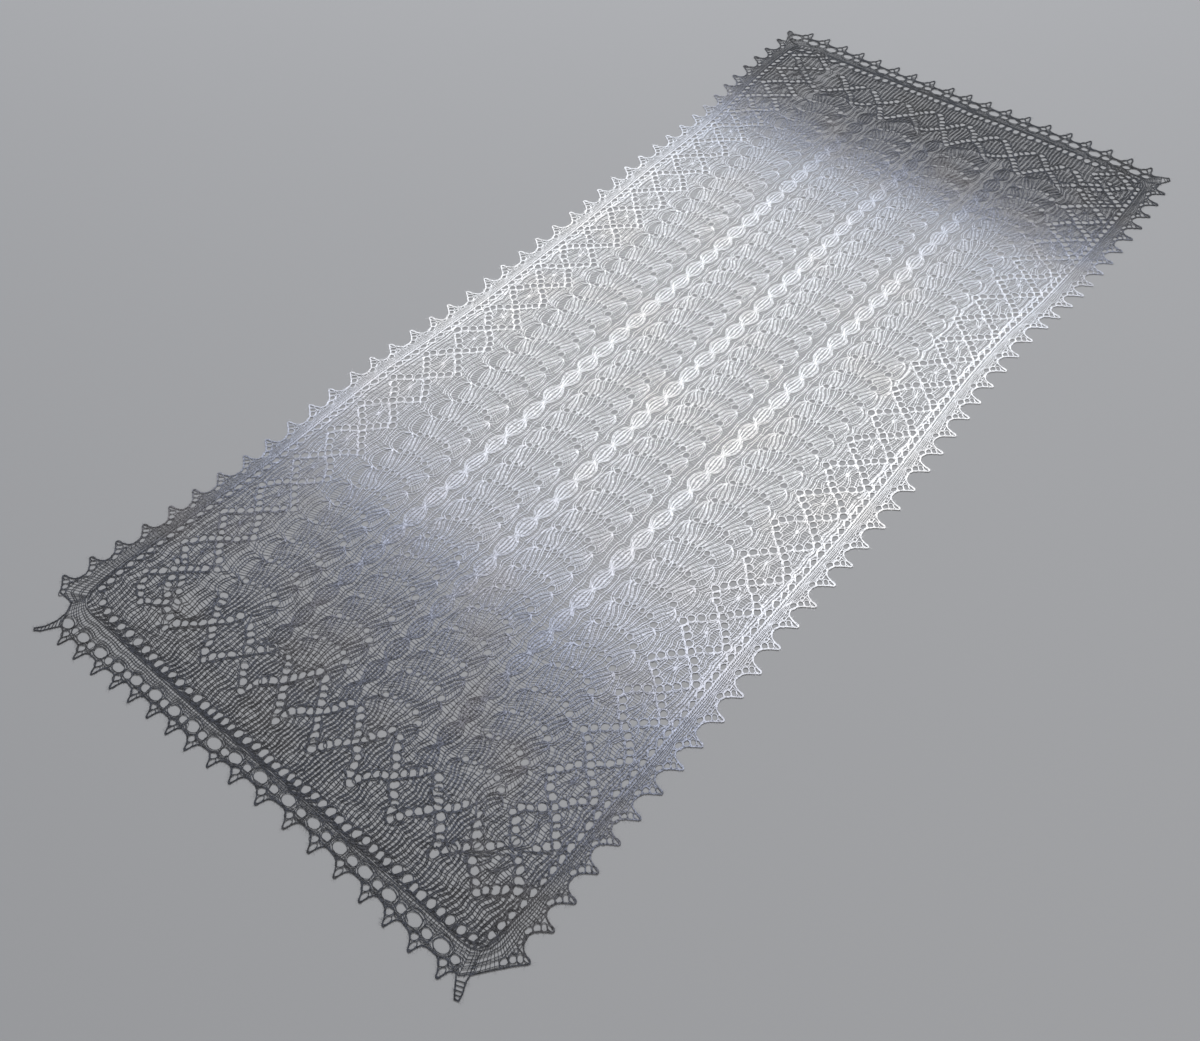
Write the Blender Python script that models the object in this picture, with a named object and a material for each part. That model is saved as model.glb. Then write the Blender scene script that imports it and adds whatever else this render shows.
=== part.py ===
"""A rectangular knitted lace shawl, laid out flat.

Pieces: lace_body (the knitted centre with its eyelet frame, one piece) and four toothed
edging strips sewn round it: edging_near, edging_right, edging_far, edging_left.
Metres. X runs across the shawl, Y along it, Z up; the cloth lies on z = 0.
Lengths in the tables below are shares of the nominal width NOMINAL between corner teeth:
u runs across the shawl and v along it.
"""

import math

import bpy
import bmesh
from mathutils import Vector

NOMINAL = 0.72          # m, nominal width
CLOTH = 0.0014          # m, thickness of the knitted cloth
SEAM = 0.0003           # m, gap at each seam
WELD = 0.00001          # m, merge distance

# --- outline: tips of the teeth and the seam inside them ----------------------------------
# sides: (v along, u across)
TIP_LEFT = [(0.04, -0.068), (0.10, -0.063), (0.20, -0.045), (0.33, -0.036), (0.45, -0.023),
            (0.75, -0.025), (0.88, -0.013), (1.05, 0.000), (1.35, 0.004), (1.60, -0.001),
            (1.80, 0.005), (1.92, -0.004), (2.00, -0.017), (2.11, -0.023), (2.22, -0.020)]
TIP_RIGHT = [(0.06, 1.058), (0.20, 1.050), (0.30, 1.043), (0.56, 1.043), (0.75, 1.034),
             (1.00, 1.038), (1.15, 1.034), (1.30, 1.026), (1.45, 1.018), (1.62, 1.017),
             (1.72, 1.031), (1.80, 1.038), (1.95, 1.040), (2.10, 1.037), (2.22, 1.025)]
SEAM_LEFT = [(0.05, 0.006), (0.10, -0.002), (0.15, 0.002), (0.20, 0.006), (0.33, 0.014),
             (0.45, 0.026), (0.75, 0.025), (0.88, 0.037), (1.05, 0.049), (1.35, 0.053),
             (1.60, 0.049), (1.80, 0.054), (1.92, 0.045), (2.00, 0.033), (2.11, 0.027),
             (2.22, 0.030)]
SEAM_RIGHT = [(0.05, 0.994), (0.10, 0.999), (0.20, 0.999), (0.30, 0.995), (0.50, 0.993),
              (0.75, 0.987), (1.00, 0.988), (1.15, 0.985), (1.30, 0.977), (1.45, 0.969),
              (1.60, 0.968), (1.72, 0.981), (1.85, 0.984), (2.00, 0.988), (2.10, 0.986),
              (2.22, 0.978)]
# ends: (u across, v along)
TIP_NEAR = [(0.00, -0.046), (0.157, -0.044), (0.25, -0.034), (0.40, -0.029), (0.50, -0.018),
            (0.60, -0.013), (0.80, -0.015), (0.90, -0.019), (1.02, -0.018)]
TIP_FAR = [(0.00, 2.280), (0.10, 2.285), (0.30, 2.278), (0.60, 2.281), (0.80, 2.279),
           (0.90, 2.274), (1.00, 2.262)]
SEAM_NEAR = [(0.00, 0.034), (0.20, 0.032), (0.40, 0.034), (0.50, 0.038), (0.60, 0.041),
             (0.80, 0.043), (1.00, 0.045)]
SEAM_FAR = [(0.00, 2.222), (0.50, 2.224), (1.00, 2.218)]
SEAM_SOFT = 0.03        # window that rounds the corners of these tables
BODY_FROM, BODY_TO = 0.080, 2.180       # v where the straight sides of the body end
CORNER = 0.041          # size of the body's rounded corners
SIDE_STEPS, END_STEPS = 38, 14

# --- teeth --------------------------------------------------------------------------------
# (number of the tooth, its place along the edge): blocking has set them unevenly
NEAR_TEETH = [(0, 0.0515), (5, 0.293), (9, 0.495), (13, 0.741), (17, 0.965)]
RIGHT_TEETH = [(0, 0.085), (8, 0.508), (16, 0.941), (24, 1.361), (30, 1.667), (36, 1.9225),
               (42, 2.196)]
FAR_TEETH = [(0, 0.042), (18, 0.966)]
LEFT_TEETH = [(0, 0.0477), (6, 0.376), (12, 0.717), (18, 1.032), (24, 1.362), (30, 1.669),
              (36, 1.965), (41, 2.205)]
TOOTH_SHIFT = 0.05      # unevenness of the places, in pitches
TOOTH_VARY = 0.07       # unevenness of the heights
SIDE_HIGH, END_HIGH = 0.0285, 0.0245
# (place from the tip in tooth pitches, height in tooth heights); the steep flank comes last
SIDE_TOOTH = [(-0.47, 0.03), (-0.31, 0.25), (-0.16, 0.65), (-0.045, 0.97), (0.035, 0.97),
              (0.10, 0.52), (0.17, 0.20), (0.30, 0.03)]
END_TOOTH = [(-0.42, 0.03), (-0.25, 0.22), (-0.13, 0.60), (-0.042, 0.97), (0.042, 0.97),
             (0.10, 0.55), (0.16, 0.18), (0.29, 0.02)]
# the four valleys where the strips meet, and the corner points beside them
VALLEY_NL, VALLEY_NR = (-0.004, 0.022), (1.001, 0.017)
VALLEY_FR, VALLEY_FL = (1.003, 2.224), (-0.002, 2.228)
TAIL_NL = [(0.007, 0.004), (0.008, -0.016), (0.001, -0.036), (-0.011, -0.050),
           (-0.007, -0.055), (0.005, -0.048), (0.018, -0.029), (0.027, -0.018)]
LOOP_NR = [(0.987, -0.001), (0.996, -0.012), (1.005, -0.022), (1.013, -0.019),
           (1.010, -0.007), (1.003, 0.006)]
SLOPE_NR = [(1.021, 0.042), (1.040, 0.065)]
HOOK_FR = [(1.010, 2.235), (1.016, 2.246), (1.010, 2.254), (0.998, 2.249)]
HOOK_FL = [(0.004, 2.250), (-0.008, 2.258), (-0.017, 2.257), (-0.016, 2.247), (-0.008, 2.238)]

# --- openwork -----------------------------------------------------------------------------
# (knitted row, v): rows are closer together towards the far end
ROWS = [(-40, 0.033), (0, 0.251), (40, 0.470), (80, 0.685), (130, 0.963), (180, 1.217),
        (240, 1.520), (290, 1.765), (350, 2.036), (395, 2.228)]
ROW_SOFT = 6.0
FULL_ROW = 0.00545      # v of one row where the rows are widest
FAN_U = (0.248, 0.437, 0.614, 0.800)        # centre lines of the four fan columns
FAN_REPEAT, FANS_CUT = 10, 32               # rows in a fan; fans of a column with a cut hole
FAN_HALF, FAN_HOLE, FAN_LEAN = 0.0410, (0.0125, 0.0150), -0.45
NODE_LEFT, NODE_RIGHT = 0.183, 0.8516       # outermost fan nodes: the diamonds lie beyond
DIAMOND_ROW, DIAMOND_REPEAT, DIAMONDS = -26.3, 16, 25
DIAMOND_HOLE = (0.0118, 0.0124)
END_FOOT, END_EYELET = 0.0120, (0.0150, 0.0105)
SIDE_FOOT, SIDE_EYELET, SIDE_LEAN = 0.0035, (0.0112, 0.0074), 1.25
EYELET_BACK = {"near": 0.40, "right": 0.33, "far": 0.40, "left": 0.33}    # pitches from a tip

# --- colours of the wool: white in the middle, charcoal at the ends -----------------------
WHITE_WOOL, PALE_WOOL = (0.60, 0.59, 0.57), (0.51, 0.50, 0.49)
DARK_WOOL = (0.060, 0.065, 0.075)


def curve(table, t, soft=SEAM_SOFT):
    """Value of a table at t, its corners rounded by averaging over a short window."""
    total = 0.0
    for k in (-1.0, -0.5, 0.0, 0.5, 1.0):
        x = min(max(t + k * soft, table[0][0]), table[-1][0])
        for (a, fa), (b, fb) in zip(table, table[1:]):
            if x <= b:
                total += fa + (fb - fa) * (x - a) / (b - a)
                break
    return total / 5.0


def row_v(row):
    return curve(ROWS, row, ROW_SOFT)


def uneven(i, phase):
    """A small hand-made unevenness, -1 to 1, the same at every run."""
    return math.sin(2.39996 * i + phase) * math.cos(1.7 * i + 2.0 * phase)


def spaced(a, b, n):
    return [a + (b - a) * i / (n - 1) for i in range(n)]


def tooth_places(table, phase):
    """(place, pitch) of each tooth of a strip."""
    count = table[-1][0] + 1
    pitch = [curve(table, i + 0.5, 0.0) - curve(table, i - 0.5, 0.0) for i in range(count)]
    pitch[0], pitch[-1] = pitch[1], pitch[-2]
    return [(curve(table, i, 0.0) + TOOTH_SHIFT * pitch[i] * uneven(i, phase), pitch[i])
            for i in range(count)]


TEETH = {
    "near": tooth_places(NEAR_TEETH, 0.3),
    "right": tooth_places(RIGHT_TEETH, 1.1),
    "far": tooth_places(FAR_TEETH, 2.2),
    "left": tooth_places(LEFT_TEETH, 3.4),
}


def toothed(side, phase):
    """Outline points (u, v) of a strip's teeth, in the direction of rising u or v."""
    tips = {"near": TIP_NEAR, "right": TIP_RIGHT, "far": TIP_FAR, "left": TIP_LEFT}[side]
    profile, high = (SIDE_TOOTH, SIDE_HIGH) if side in ("left", "right") else (END_TOOTH, END_HIGH)
    inward = 1 if side in ("near", "left") else -1
    points = []
    for i, (place_of, pitch) in enumerate(TEETH[side]):
        tall = high * (1.0 + TOOTH_VARY * uneven(i, phase))
        for s, h in profile:
            along = place_of + s * pitch
            across = curve(tips, along) + inward * (1.0 - h) * tall
            points.append((across, along) if side in ("left", "right") else (along, across))
    return points


def outer_contours():
    """Toothed outer contour of each strip, in one turn round the shawl (u, v)."""
    return {
        "near": [VALLEY_NL] + TAIL_NL + toothed("near", 0.5) + LOOP_NR + [VALLEY_NR],
        "right": [VALLEY_NR] + SLOPE_NR + toothed("right", 1.5)[3:-1] + [VALLEY_FR],
        "far": [VALLEY_FR] + HOOK_FR + toothed("far", 2.5)[::-1] + HOOK_FL + [VALLEY_FL],
        "left": [VALLEY_FL] + toothed("left", 3.5)[:-1][::-1] + [VALLEY_NL],
    }


def body_sides():
    """Outline of the body as four runs, each from corner middle to corner middle (u, v)."""
    def corner(a, control, b):
        return [tuple((1 - t) ** 2 * a[k] + 2 * t * (1 - t) * control[k] + t * t * b[k]
                      for k in (0, 1)) for t in (0.0, 0.25, 0.5, 0.75, 1.0)]

    right = [(curve(SEAM_RIGHT, v), v) for v in spaced(BODY_FROM, BODY_TO, SIDE_STEPS)]
    left = [(curve(SEAM_LEFT, v), v) for v in spaced(BODY_TO, BODY_FROM, SIDE_STEPS)]
    near = [(u, curve(SEAM_NEAR, u))
            for u in spaced(left[-1][0] + CORNER, right[0][0] - CORNER, END_STEPS)]
    far = [(u, curve(SEAM_FAR, u))
           for u in spaced(right[-1][0] - CORNER, left[0][0] + CORNER, END_STEPS)]
    nr = corner(near[-1], (right[0][0], near[-1][1]), right[0])
    fr = corner(right[-1], (right[-1][0], far[0][1]), far[0])
    fl = corner(far[-1], (left[0][0], far[-1][1]), left[0])
    nl = corner(left[-1], (left[-1][0], near[0][1]), near[0])
    return {
        "near": nl[2:-1] + near + nr[1:3],
        "right": nr[2:-1] + right + fr[1:3],
        "far": fr[2:-1] + far + fl[1:3],
        "left": fl[2:-1] + left + nl[1:3],
    }


CONTOURS = outer_contours()
SIDES = body_sides()
OUTER = [p for run in CONTOURS.values() for p in run]
MID_U = (min(p[0] for p in OUTER) + max(p[0] for p in OUTER)) / 2
MID_V = (min(p[1] for p in OUTER) + max(p[1] for p in OUTER)) / 2


def place(p):
    """(u, v) to metres, with the origin in the middle of the whole outline."""
    return Vector(((p[0] - MID_U) * NOMINAL, (p[1] - MID_V) * NOMINAL))


def oval(u, v, sizes, scale, lean, n):
    """A hole as n points: sizes are its full width and length."""
    points = []
    for k in range(n):
        a = 2 * math.pi * (k + 0.5) / n
        x, y = sizes[0] * scale / 2 * math.cos(a), sizes[1] * scale / 2 * math.sin(a)
        points.append(place((u + x * math.cos(lean) - y * math.sin(lean),
                             v + x * math.sin(lean) + y * math.cos(lean))))
    return points


def body_holes():
    """The largest eyelet of each fan, at the right end of its arc, and of each diamond."""
    holes = []
    for k in range(FANS_CUT):
        row = FAN_REPEAT * k
        close = (row_v(row + 5) - row_v(row - 5)) / FAN_REPEAT / FULL_ROW
        for column, u in enumerate(FAN_U):
            scale = close * (1.0 + 0.07 * uneven(k, 0.7 + column))
            holes.append(oval(u + FAN_HALF, row_v(row), FAN_HOLE, scale, FAN_LEAN, 8))
    for k in range(DIAMONDS):
        v = row_v(DIAMOND_ROW + DIAMOND_REPEAT * k)
        for node, table in ((NODE_LEFT, SEAM_LEFT), (NODE_RIGHT, SEAM_RIGHT)):
            scale = 1.0 + 0.06 * uneven(k, 9.0 * node)
            holes.append(oval((node + curve(table, v)) / 2, v, DIAMOND_HOLE, scale, 0.0, 8))
    return holes


def strip_holes(side):
    """The largest eyelet of each tooth, at the foot of its long flank."""
    holes = []
    for i, (place_of, pitch) in enumerate(TEETH[side]):
        along = place_of - EYELET_BACK[side] * pitch
        scale = 1.0 + 0.06 * uneven(i, 4.0)
        if side == "near":
            v = curve(TIP_NEAR, along) + END_HIGH + END_FOOT
            holes.append(oval(along, v, END_EYELET, scale, 0.0, 6))
        elif side == "far":
            v = curve(TIP_FAR, along) - END_HIGH - END_FOOT
            holes.append(oval(along, v, END_EYELET, scale, 0.0, 6))
        elif side == "right":
            u = curve(TIP_RIGHT, along) - SIDE_HIGH - SIDE_FOOT
            holes.append(oval(u, along, SIDE_EYELET, scale, SIDE_LEAN, 6))
        else:
            u = curve(TIP_LEFT, along) + SIDE_HIGH + SIDE_FOOT
            holes.append(oval(u, along, SIDE_EYELET, scale, -SIDE_LEAN, 6))
    return holes


def wool(name, colour):
    """Matt wool."""
    material = bpy.data.materials.new(name)
    material.use_nodes = True
    shader = material.node_tree.nodes["Principled BSDF"]
    shader.inputs["Base Color"].default_value = (*colour, 1.0)
    shader.inputs["Roughness"].default_value = 0.85
    shader.inputs["Metallic"].default_value = 0.0
    return material


def plate(name, outline, holes, material, collection):
    """A flat plate of cloth: a filled 2D curve, its inner splines cut straight through."""
    flat = bpy.data.curves.new(name + "_outline", "CURVE")
    flat.dimensions = "2D"
    flat.fill_mode = "BOTH"
    flat.extrude = CLOTH / 2
    for loop in [outline] + holes:
        spline = flat.splines.new("POLY")
        spline.points.add(len(loop) - 1)
        for point, p in zip(spline.points, loop):
            point.co = (p.x, p.y, 0.0, 1.0)
        spline.use_cyclic_u = True
    guide = bpy.data.objects.new(name + "_outline", flat)
    collection.objects.link(guide)
    bpy.context.view_layer.update()
    mesh = bpy.data.meshes.new_from_object(
        guide.evaluated_get(bpy.context.evaluated_depsgraph_get()))
    mesh.name = name
    bpy.data.objects.remove(guide, do_unlink=True)
    # the curve's caps are loose: weld them to the walls
    bm = bmesh.new()
    bm.from_mesh(mesh)
    bmesh.ops.remove_doubles(bm, verts=bm.verts, dist=WELD)
    bmesh.ops.recalc_face_normals(bm, faces=bm.faces)
    bm.to_mesh(mesh)
    bm.free()
    mesh.materials.clear()
    mesh.materials.append(material)
    obj = bpy.data.objects.new(name, mesh)
    obj.location = (0.0, 0.0, CLOTH / 2)
    collection.objects.link(obj)
    return obj


def build_body(outline, collection):
    plate("lace_body", outline, body_holes(), wool("wool_body", WHITE_WOOL), collection)


def build_edging(side, seam, colour, collection):
    """A toothed strip outside a run of the seam, cut back at both mitres."""
    outer = [place(p) for p in CONTOURS[side]]
    for end, ahead in ((0, 1), (-1, -1)):
        cut = (outer[end] - seam[end]).normalized()
        push = Vector((-cut.y, cut.x)) * ahead * (SEAM / 2)
        outer[end] = outer[end] + push
        seam[end] = seam[end] + push
    name = f"edging_{side}"
    plate(name, outer + seam[::-1], strip_holes(side), wool(f"wool_{name}", colour), collection)


def build():
    for o in list(bpy.data.objects):
        bpy.data.objects.remove(o, do_unlink=True)
    shawl = bpy.data.collections.new("lace_shawl")
    bpy.context.scene.collection.children.link(shawl)
    outline = [place(p) for run in SIDES.values() for p in run[:-1]]
    build_body(outline, shawl)
    ring = []
    for i, p in enumerate(outline):
        along = (outline[(i + 1) % len(outline)] - outline[i - 1]).normalized()
        ring.append(p + Vector((along.y, -along.x)) * SEAM)
    colours = {"near": DARK_WOOL, "right": PALE_WOOL, "far": DARK_WOOL, "left": PALE_WOOL}
    start = 0
    for side, run in SIDES.items():
        steps = len(run) - 1
        seam = [ring[(start + i) % len(ring)].copy() for i in range(steps + 1)]
        build_edging(side, seam, colours[side], shawl)
        start += steps


build()
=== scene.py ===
"""Looks of the knitted lace shawl: its stitches as strands of wool, laid flat on a pale floor."""

import math

import bpy
import numpy as np
from mathutils import Matrix, Vector


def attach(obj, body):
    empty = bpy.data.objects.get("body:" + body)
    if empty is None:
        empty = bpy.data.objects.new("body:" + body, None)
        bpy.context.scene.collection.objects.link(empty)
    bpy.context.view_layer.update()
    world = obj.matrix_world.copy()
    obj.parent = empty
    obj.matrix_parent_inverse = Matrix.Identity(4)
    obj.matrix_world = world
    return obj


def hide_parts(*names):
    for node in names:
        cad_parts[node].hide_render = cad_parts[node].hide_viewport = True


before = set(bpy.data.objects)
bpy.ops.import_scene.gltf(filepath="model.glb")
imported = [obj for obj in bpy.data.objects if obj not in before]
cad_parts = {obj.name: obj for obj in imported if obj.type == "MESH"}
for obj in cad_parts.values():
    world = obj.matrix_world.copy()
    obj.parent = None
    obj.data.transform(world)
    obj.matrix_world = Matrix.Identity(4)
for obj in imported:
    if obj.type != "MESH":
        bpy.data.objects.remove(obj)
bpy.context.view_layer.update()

rng = np.random.default_rng(11)

# ---- numbers shared with the CAD
NOMINAL = 0.72  # m, nominal width; the lengths in the tables are shares of it
# lines of the tips of the teeth and of the seams: (v, u) at the sides, (u, v) at the ends
TIPS = {
    "near": [(0.0, -0.046), (0.157, -0.044), (0.25, -0.034), (0.4, -0.029), (0.5, -0.018), (0.6, -0.013),
        (0.8, -0.015), (0.9, -0.019), (1.02, -0.018)],
    "right": [(0.06, 1.058), (0.2, 1.05), (0.3, 1.043), (0.56, 1.043), (0.75, 1.034), (1.0, 1.038),
        (1.15, 1.034), (1.3, 1.026), (1.45, 1.018), (1.62, 1.017), (1.72, 1.031), (1.8, 1.038),
        (1.95, 1.04), (2.1, 1.037), (2.22, 1.025)],
    "far": [(0.0, 2.28), (0.1, 2.285), (0.3, 2.278), (0.6, 2.281), (0.8, 2.279), (0.9, 2.274),
        (1.0, 2.262)],
    "left": [(0.04, -0.068), (0.1, -0.063), (0.2, -0.045), (0.33, -0.036), (0.45, -0.023),
        (0.75, -0.025), (0.88, -0.013), (1.05, 0.0), (1.35, 0.004), (1.6, -0.001), (1.8, 0.005),
        (1.92, -0.004), (2.0, -0.017), (2.11, -0.023), (2.22, -0.02)],
}
SEAM_LEFT = [(0.05, 0.006), (0.1, -0.002), (0.15, 0.002), (0.2, 0.006), (0.33, 0.014), (0.45, 0.026),
    (0.75, 0.025), (0.88, 0.037), (1.05, 0.049), (1.35, 0.053), (1.6, 0.049), (1.8, 0.054),
    (1.92, 0.045), (2.0, 0.033), (2.11, 0.027), (2.22, 0.03)]
SEAM_RIGHT = [(0.05, 0.994), (0.1, 0.999), (0.2, 0.999), (0.3, 0.995), (0.5, 0.993), (0.75, 0.987),
    (1.0, 0.988), (1.15, 0.985), (1.3, 0.977), (1.45, 0.969), (1.6, 0.968), (1.72, 0.981), (1.85, 0.984),
    (2.0, 0.988), (2.1, 0.986), (2.22, 0.978)]
SEAM_NEAR = [(0.0, 0.034), (0.2, 0.032), (0.4, 0.034), (0.5, 0.038), (0.6, 0.041), (0.8, 0.043),
    (1.0, 0.045)]
SEAM_FAR = [(0.0, 2.222), (0.5, 2.224), (1.0, 2.218)]
SEAM_SOFT = 0.03
BODY_FROM, BODY_TO = 0.08, 2.18
CORNER = 0.041
SIDE_STEPS, END_STEPS = 38, 14

TOOTH_SHIFT, TOOTH_VARY = 0.05, 0.07  # unevenness of the places and of the heights
HIGH = {"side": 0.0285, "end": 0.0245}  # height of the teeth
# outline of a tooth: place in teeth from its tip, and share of its height
TOOTH = {
    "side": [(-0.47, 0.03), (-0.31, 0.25), (-0.16, 0.65), (-0.045, 0.97), (0.035, 0.97), (0.1, 0.52),
             (0.17, 0.2), (0.3, 0.03)],
    "end": [(-0.42, 0.03), (-0.25, 0.22), (-0.13, 0.6), (-0.042, 0.97), (0.042, 0.97), (0.1, 0.55),
            (0.16, 0.18), (0.29, 0.02)],
}
# corner valleys and the curls beside them (u, v); NL is near left, FR far right
VALLEY_NL, VALLEY_NR = (-0.004, 0.022), (1.001, 0.017)
VALLEY_FR, VALLEY_FL = (1.003, 2.224), (-0.002, 2.228)
TAIL_NL = [(0.007, 0.004), (0.008, -0.016), (0.001, -0.036), (-0.011, -0.05), (-0.007, -0.055),
    (0.005, -0.048), (0.018, -0.029), (0.027, -0.018)]
LOOP_NR = [(0.987, -0.001), (0.996, -0.012), (1.005, -0.022), (1.013, -0.019), (1.01, -0.007),
    (1.003, 0.006)]
SLOPE_NR = [(1.021, 0.042), (1.04, 0.065)]
HOOK_FR = [(1.01, 2.235), (1.016, 2.246), (1.01, 2.254), (0.998, 2.249)]
HOOK_FL = [(0.004, 2.25), (-0.008, 2.258), (-0.017, 2.257), (-0.016, 2.247), (-0.008, 2.238)]

# row of the chart and its v
ROWS = [(-40, 0.033), (0, 0.251), (40, 0.47), (80, 0.685), (130, 0.963), (180, 1.217), (240, 1.52),
    (290, 1.765), (350, 2.036), (395, 2.228)]
ROW_SOFT = 6.0


def curve(table, t, soft=SEAM_SOFT):
    """Values of a table at t, its corners rounded by averaging over a short window."""
    xs, ys = np.array(table, float).T
    t = np.asarray(t, float)
    return sum(np.interp(t + k * soft, xs, ys) for k in (-1.0, -0.5, 0.0, 0.5, 1.0)) / 5.0


def row_v(row):
    return curve(ROWS, row, ROW_SOFT)


def uneven(i, phase):
    """A small hand-made unevenness, -1 to 1, the same at every run."""
    return np.sin(2.39996 * i + phase) * np.cos(1.7 * i + 2.0 * phase)


def tooth_places(table, phase):
    """Places and pitches of the teeth of a strip."""
    i = np.arange(table[-1][0] + 1)
    pitch = curve(table, i + 0.5, 0.0) - curve(table, i - 0.5, 0.0)
    pitch[0], pitch[-1] = pitch[1], pitch[-2]
    return curve(table, i, 0.0) + TOOTH_SHIFT * pitch * uneven(i, phase), pitch


# places and pitches of the teeth, from some numbers of teeth and their places
TEETH = {
    "near": tooth_places([(0, 0.0515), (5, 0.293), (9, 0.495), (13, 0.741), (17, 0.965)], 0.3),
    "right": tooth_places([(0, 0.085), (8, 0.508), (16, 0.941), (24, 1.361), (30, 1.667), (36, 1.9225),
        (42, 2.196)], 1.1),
    "far": tooth_places([(0, 0.042), (18, 0.966)], 2.2),
    "left": tooth_places([(0, 0.0477), (6, 0.376), (12, 0.717), (18, 1.032), (24, 1.362), (30, 1.669),
        (36, 1.965), (41, 2.205)], 3.4),
}
PHASE = {"near": 0.5, "right": 1.5, "far": 2.5, "left": 3.5}
INWARD = {"near": 1, "right": -1, "far": -1, "left": 1}


def kind_of(side):
    return "side" if side in ("left", "right") else "end"


def turned(points, side):
    """(u, v) as (along, across) of a strip, or back."""
    return points[..., ::-1] if kind_of(side) == "side" else points


def toothed(side):
    """Outline points (u, v) of a strip's teeth, in the direction of rising u or v."""
    kind, points = kind_of(side), []
    places, pitches = TEETH[side]
    for i, (place_of, pitch) in enumerate(zip(places, pitches)):
        tall = HIGH[kind] * (1.0 + TOOTH_VARY * uneven(i, PHASE[side]))
        for s, h in TOOTH[kind]:
            along = place_of + s * pitch
            across = float(curve(TIPS[side], along)) + INWARD[side] * (1.0 - h) * tall
            points.append((across, along) if kind == "side" else (along, across))
    return points


CONTOURS = {
    "near": [VALLEY_NL] + TAIL_NL + toothed("near") + LOOP_NR + [VALLEY_NR],
    "right": [VALLEY_NR] + SLOPE_NR + toothed("right")[3:-1] + [VALLEY_FR],
    "far": [VALLEY_FR] + HOOK_FR + toothed("far")[::-1] + HOOK_FL + [VALLEY_FL],
    "left": [VALLEY_FL] + toothed("left")[:-1][::-1] + [VALLEY_NL],
}


def body_sides():
    """Outline of the body as four runs, each from corner middle to corner middle (u, v)."""
    def corner(a, control, b):
        return [tuple((1 - t) ** 2 * a[k] + 2 * t * (1 - t) * control[k] + t * t * b[k]
                      for k in (0, 1)) for t in (0.0, 0.25, 0.5, 0.75, 1.0)]

    up = np.linspace(BODY_FROM, BODY_TO, SIDE_STEPS)
    right = list(zip(curve(SEAM_RIGHT, up), up))
    left = list(zip(curve(SEAM_LEFT, up[::-1]), up[::-1]))
    over = np.linspace(left[-1][0] + CORNER, right[0][0] - CORNER, END_STEPS)
    near = list(zip(over, curve(SEAM_NEAR, over)))
    back = np.linspace(right[-1][0] - CORNER, left[0][0] + CORNER, END_STEPS)
    far = list(zip(back, curve(SEAM_FAR, back)))
    nr = corner(near[-1], (right[0][0], near[-1][1]), right[0])
    fr = corner(right[-1], (right[-1][0], far[0][1]), far[0])
    fl = corner(far[-1], (left[0][0], far[-1][1]), left[0])
    nl = corner(left[-1], (left[-1][0], near[0][1]), near[0])
    return {
        "near": nl[2:-1] + near + nr[1:3],
        "right": nr[2:-1] + right + fr[1:3],
        "far": fr[2:-1] + far + fl[1:3],
        "left": fl[2:-1] + left + nl[1:3],
    }


SIDES = body_sides()
OUTER = np.array([p for run in CONTOURS.values() for p in run])
MIDDLE = (OUTER.min(0) + OUTER.max(0)) / 2


def metres(points):
    """(u, v) to metres in the row frame."""
    return (np.asarray(points, float) - MIDDLE) * NOMINAL


# ---- the chart of the body
FIRST_ROW, LAST_ROW = -40, 394
COLUMNS = 101  # stitches side by side
MIDDLE_COLUMN, PANEL_FROM = 50, 37  # the side panels are further than that from the middle
FANS = (14, 34, 54, 74)  # first column of each fan
BEADS = (30, 50, 70)  # middle column of each bead column
DIAMOND_MIDDLES = (8, 92)
DIAMOND_JOINTS = range(-26, 375, 16)  # rows where one diamond ends and the next starts
HALF_DIAMOND = 8  # rows from a joint to the middle of a diamond
EDGE_ROWS = range(-32, 386, 4)  # rows of the large eyelets along the sides
FRAME_ROWS = (-36, 390)  # rows of large eyelets at the ends
FAN_WIDE, FAN_REPEAT, LAST_FAN_ROW = 13, 10, 350
FAN_TO = (0, 0, 0, 0, 2, 4, 6, 8, 10, 12, 12, 12, 12)  # where each stitch of a fan goes
ZIGZAG_ROWS, ZIGZAG_LINES = (-26, 361), 10  # first row of each zigzag band, and its lines
ZIGZAG_COLUMNS = (14, 24, 33, 43, 53, 63, 73, 83, 92)
ZIGZAG_BORDER = 5  # columns at each side that the zigzag leaves plain
# place of some columns at the ends of the body, as shares of its width
PLAIN_SHARES = ((0, 0.004), (8, 0.0955), (14, 0.181), (24, 0.278), (33, 0.373), (43, 0.4656),
    (53, 0.5516), (63, 0.6438), (73, 0.7424), (83, 0.832), (92, 0.924), (100, 0.996))


def index(row):
    return row - FIRST_ROW


def body_chart():
    """For each row, the column of the next stitch that each stitch is knitted into."""
    rows = LAST_ROW - FIRST_ROW + 1
    to = np.tile(np.arange(COLUMNS), (rows, 1))

    def eyelet(row, column, lean):
        """A yarn over at this place, paired with a decrease beside it."""
        if 0 < index(row) < rows and to[index(row), column] == column:
            to[index(row), column] = column + lean

    for row in range(0, LAST_FAN_ROW + 1, FAN_REPEAT):
        for first in FANS:
            for j, target in enumerate(FAN_TO):
                to[index(row), first + j] = first + target
    for middle in DIAMOND_MIDDLES:
        for joint in DIAMOND_JOINTS:
            eyelet(joint, middle, 1 if middle < MIDDLE_COLUMN else -1)
            for k in range(1, HALF_DIAMOND):
                out = min(k, HALF_DIAMOND - k)
                lean = 1 if k < HALF_DIAMOND / 2 else -1
                eyelet(joint + 2 * k, middle - out, -lean)
                eyelet(joint + 2 * k, middle + out, lean)
    for row in EDGE_ROWS:
        eyelet(row, 1, 1)
        eyelet(row, COLUMNS - 2, -1)
    for column in range(3, COLUMNS - 2, 2):
        for row in FRAME_ROWS:
            eyelet(row, column, 1)
    for start in ZIGZAG_ROWS:
        for middle in ZIGZAG_COLUMNS:
            for k in range(ZIGZAG_LINES):
                for side in (-1, 1):
                    column = middle + side * k
                    if ZIGZAG_BORDER < column < COLUMNS - 1 - ZIGZAG_BORDER:
                        eyelet(start + 2 * k, column, side)
    return to


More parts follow.
